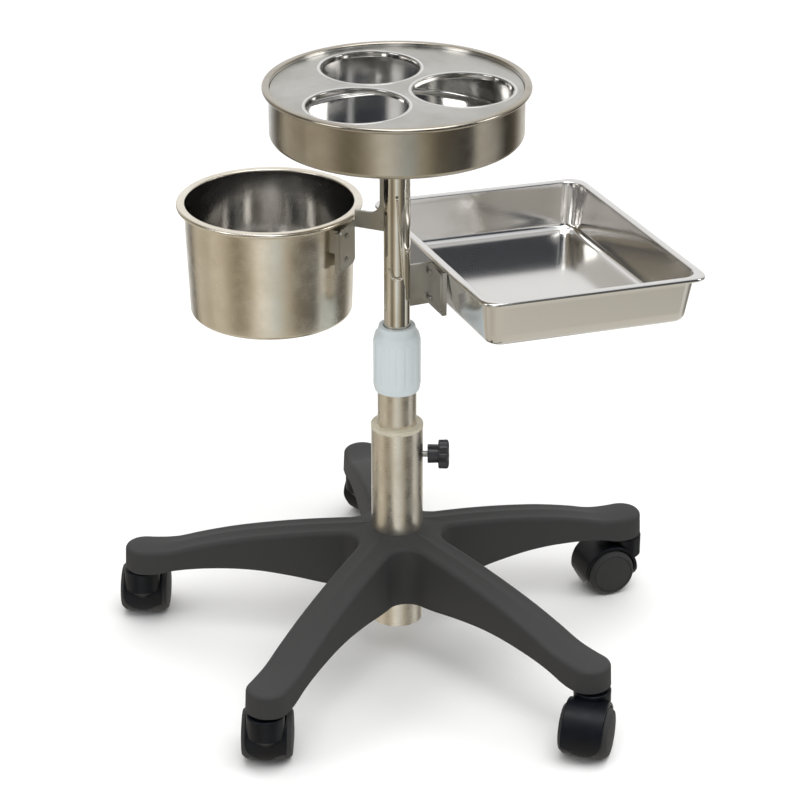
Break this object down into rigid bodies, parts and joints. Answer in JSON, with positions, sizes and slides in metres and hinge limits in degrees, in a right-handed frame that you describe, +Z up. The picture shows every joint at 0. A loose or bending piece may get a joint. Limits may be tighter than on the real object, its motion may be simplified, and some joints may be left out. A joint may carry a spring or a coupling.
{
  "type": "instrument cart",
  "caption": "Wheeled clinic stand: five-arm star base, telescoping steel column, round jar pan on top, lift-off bin and rectangular tray on side arms.",
  "frame": {"origin": "column axis at floor level, under the hub", "axes": "+Z up along the column; +X to the side of the clamp knob; +Y away from the wire hook"},
  "size_m": [0.5782, 0.5671, 0.5962],
  "materials": {
    "black_nylon": "moulded with a fine leather-like grain",
    "black_abs": "semi-gloss moulded",
    "black_wheel": "moulded nylon tread and face",
    "brushed_stainless": "fine satin, brushed round the tube",
    "polished_stainless": "mirror polished",
    "satin_stainless": "satin",
    "grey_plastic": "semi-gloss light blue-grey",
    "ivory_plastic": "natural nylon",
    "zinc_steel": "zinc plated"
  },
  "bodies": {
    "base": {"star_base": "black_nylon", "base_tube": "brushed_stainless", "tube_bush": "ivory_plastic", "clamp_nut": "zinc_steel", "caster_right_stem": "zinc_steel", "caster_back_stem": "zinc_steel", "caster_left_stem": "zinc_steel", "caster_front_left_stem": "zinc_steel", "caster_front_right_stem": "zinc_steel"},
    "caster_right": {"caster_right_hood": "black_abs", "caster_right_axle": "zinc_steel"},
    "right_wheel_left": {"caster_right_wheel_left": "black_wheel"},
    "right_wheel_right": {"caster_right_wheel_right": "black_wheel"},
    "caster_back": {"caster_back_hood": "black_abs", "caster_back_axle": "zinc_steel"},
    "back_wheel_left": {"caster_back_wheel_left": "black_wheel"},
    "back_wheel_right": {"caster_back_wheel_right": "black_wheel"},
    "caster_left": {"caster_left_hood": "black_abs", "caster_left_axle": "zinc_steel"},
    "left_wheel_left": {"caster_left_wheel_left": "black_wheel"},
    "left_wheel_right": {"caster_left_wheel_right": "black_wheel"},
    "caster_front_left": {"caster_front_left_hood": "black_abs", "caster_front_left_axle": "zinc_steel"},
    "front_left_wheel_left": {"caster_front_left_wheel_left": "black_wheel"},
    "front_left_wheel_right": {"caster_front_left_wheel_right": "black_wheel"},
    "caster_front_right": {"caster_front_right_hood": "black_abs", "caster_front_right_axle": "zinc_steel"},
    "front_right_wheel_left": {"caster_front_right_wheel_left": "black_wheel"},
    "front_right_wheel_right": {"caster_front_right_wheel_right": "black_wheel"},
    "mid_carriage": {"mid_guide": "ivory_plastic"},
    "middle": {"middle_tube": "brushed_stainless", "lock_collet": "ivory_plastic"},
    "sleeve": {"lock_sleeve": "grey_plastic"},
    "post_carriage": {"post_guide": "ivory_plastic"},
    "post": {"post_tube": "polished_stainless", "post_plug": "zinc_steel", "pan_washer": "zinc_steel", "pan_bolt": "zinc_steel", "top_pan": "polished_stainless", "bin_arm": "satin_stainless", "bin_channel": "satin_stainless", "bin_arm_rivets": "zinc_steel", "tray_arm": "satin_stainless", "tray_channel": "satin_stainless", "tray_arm_rivets": "zinc_steel"},
    "lid": {"jar_lid": "satin_stainless"},
    "hook": {"wire_hook": "polished_stainless"},
    "bin": {"bin": "polished_stainless", "bin_hanger": "satin_stainless"},
    "tray": {"side_tray": "polished_stainless", "tray_hanger": "satin_stainless"},
    "clamp_pad": {"thrust_pad": "ivory_plastic"},
    "clamp_knob": {"clamp_screw": "zinc_steel", "clamp_knob": "black_abs"}
  },
  "joints": [
    {"name": "right_swivel", "type": "hinge", "parent": "base", "child": "caster_right", "pos_m": [0.23751, 0.11754, 0.059], "axis": [0, 0, 1], "continuous": true},
    {"name": "right_spin_left", "type": "hinge", "parent": "caster_right", "child": "right_wheel_left", "pos_m": [0.21777, 0.11036, 0.025], "axis": [0.342, -0.9397, 0], "continuous": true},
    {"name": "right_spin_right", "type": "hinge", "parent": "caster_right", "child": "right_wheel_right", "pos_m": [0.21777, 0.11036, 0.025], "axis": [0.342, -0.9397, 0], "continuous": true},
    {"name": "back_swivel", "type": "hinge", "parent": "base", "child": "caster_back", "pos_m": [-0.03839, 0.2622, 0.059], "axis": [0, 0, 1], "continuous": true},
    {"name": "back_spin_left", "type": "hinge", "parent": "caster_back", "child": "back_wheel_left", "pos_m": [-0.02635, 0.27941, 0.025], "axis": [-0.8192, 0.5736, 0], "continuous": true},
    {"name": "back_spin_right", "type": "hinge", "parent": "caster_back", "child": "back_wheel_right", "pos_m": [-0.02635, 0.27941, 0.025], "axis": [-0.8192, 0.5736, 0], "continuous": true},
    {"name": "left_swivel", "type": "hinge", "parent": "base", "child": "caster_left", "pos_m": [-0.26123, 0.04451, 0.059], "axis": [0, 0, 1], "continuous": true},
    {"name": "left_spin_left", "type": "hinge", "parent": "caster_left", "child": "left_wheel_left", "pos_m": [-0.26014, 0.06548, 0.025], "axis": [-0.9986, 0.0523, 0], "continuous": true},
    {"name": "left_spin_right", "type": "hinge", "parent": "caster_left", "child": "left_wheel_right", "pos_m": [-0.26014, 0.06548, 0.025], "axis": [-0.9986, 0.0523, 0], "continuous": true},
    {"name": "front_left_swivel", "type": "hinge", "parent": "base", "child": "caster_front_left", "pos_m": [-0.12306, -0.23469, 0.059], "axis": [0, 0, 1], "continuous": true},
    {"name": "front_left_spin_left", "type": "hinge", "parent": "caster_front_left", "child": "front_left_wheel_left", "pos_m": [-0.12233, -0.21371, 0.025], "axis": [-0.9994, 0.0349, 0], "continuous": true},
    {"name": "front_left_spin_right", "type": "hinge", "parent": "caster_front_left", "child": "front_left_wheel_right", "pos_m": [-0.12233, -0.21371, 0.025], "axis": [-0.9994, 0.0349, 0], "continuous": true},
    {"name": "front_right_swivel", "type": "hinge", "parent": "base", "child": "caster_front_right", "pos_m": [0.18518, -0.18956, 0.059], "axis": [0, 0, 1], "continuous": true},
    {"name": "front_right_spin_left", "type": "hinge", "parent": "caster_front_right", "child": "front_right_wheel_left", "pos_m": [0.17939, -0.20975, 0.025], "axis": [0.9613, -0.2756, 0], "continuous": true},
    {"name": "front_right_spin_right", "type": "hinge", "parent": "caster_front_right", "child": "front_right_wheel_right", "pos_m": [0.17939, -0.20975, 0.025], "axis": [0.9613, -0.2756, 0], "continuous": true},
    {"name": "mid_lift", "type": "slide", "parent": "base", "child": "mid_carriage", "axis": [0, 0, 1], "range_m": [-0.036, 0.11]},
    {"name": "mid_turn", "type": "hinge", "parent": "mid_carriage", "child": "middle", "pos_m": [0, 0, 0.0725], "axis": [0, 0, 1], "continuous": true},
    {"name": "lock_twist", "type": "hinge", "parent": "middle", "child": "sleeve", "pos_m": [0, 0, 0.3], "axis": [0, 0, 1], "range_deg": [0, 90]},
    {"name": "post_lift", "type": "slide", "parent": "middle", "child": "post_carriage", "axis": [0, 0, 1], "range_m": [-0.015, 0.18]},
    {"name": "post_turn", "type": "hinge", "parent": "post_carriage", "child": "post", "pos_m": [0, 0, 0.0965], "axis": [0, 0, 1], "continuous": true},
    {"name": "lid_lift", "type": "slide", "parent": "post", "child": "lid", "axis": [0, 0, 1], "range_m": [0, 0.06]},
    {"name": "hook_swing", "type": "hinge", "parent": "post", "child": "hook", "pos_m": [0, -0.0127, 0.4875], "axis": [0, 1, 0], "range_deg": [-20, 20]},
    {"name": "bin_lift", "type": "slide", "parent": "post", "child": "bin", "axis": [0, 0, 1], "range_m": [0, 0.045]},
    {"name": "tray_lift", "type": "slide", "parent": "post", "child": "tray", "axis": [0, 0, 1], "range_m": [0, 0.048]},
    {"name": "clamp_travel", "type": "slide", "parent": "base", "child": "clamp_pad", "axis": [1, 0, 0], "range_m": [0, 0.0021]},
    {"name": "knob_turn", "type": "hinge", "parent": "clamp_pad", "child": "clamp_knob", "pos_m": [0.04, 0, 0.2115], "axis": [1, 0, 0], "range_deg": [0, 720]}
  ],
  "couplings": [
    {"joint": "clamp_travel", "follows": "knob_turn", "m_per_rad": 0.00015915}
  ]
}
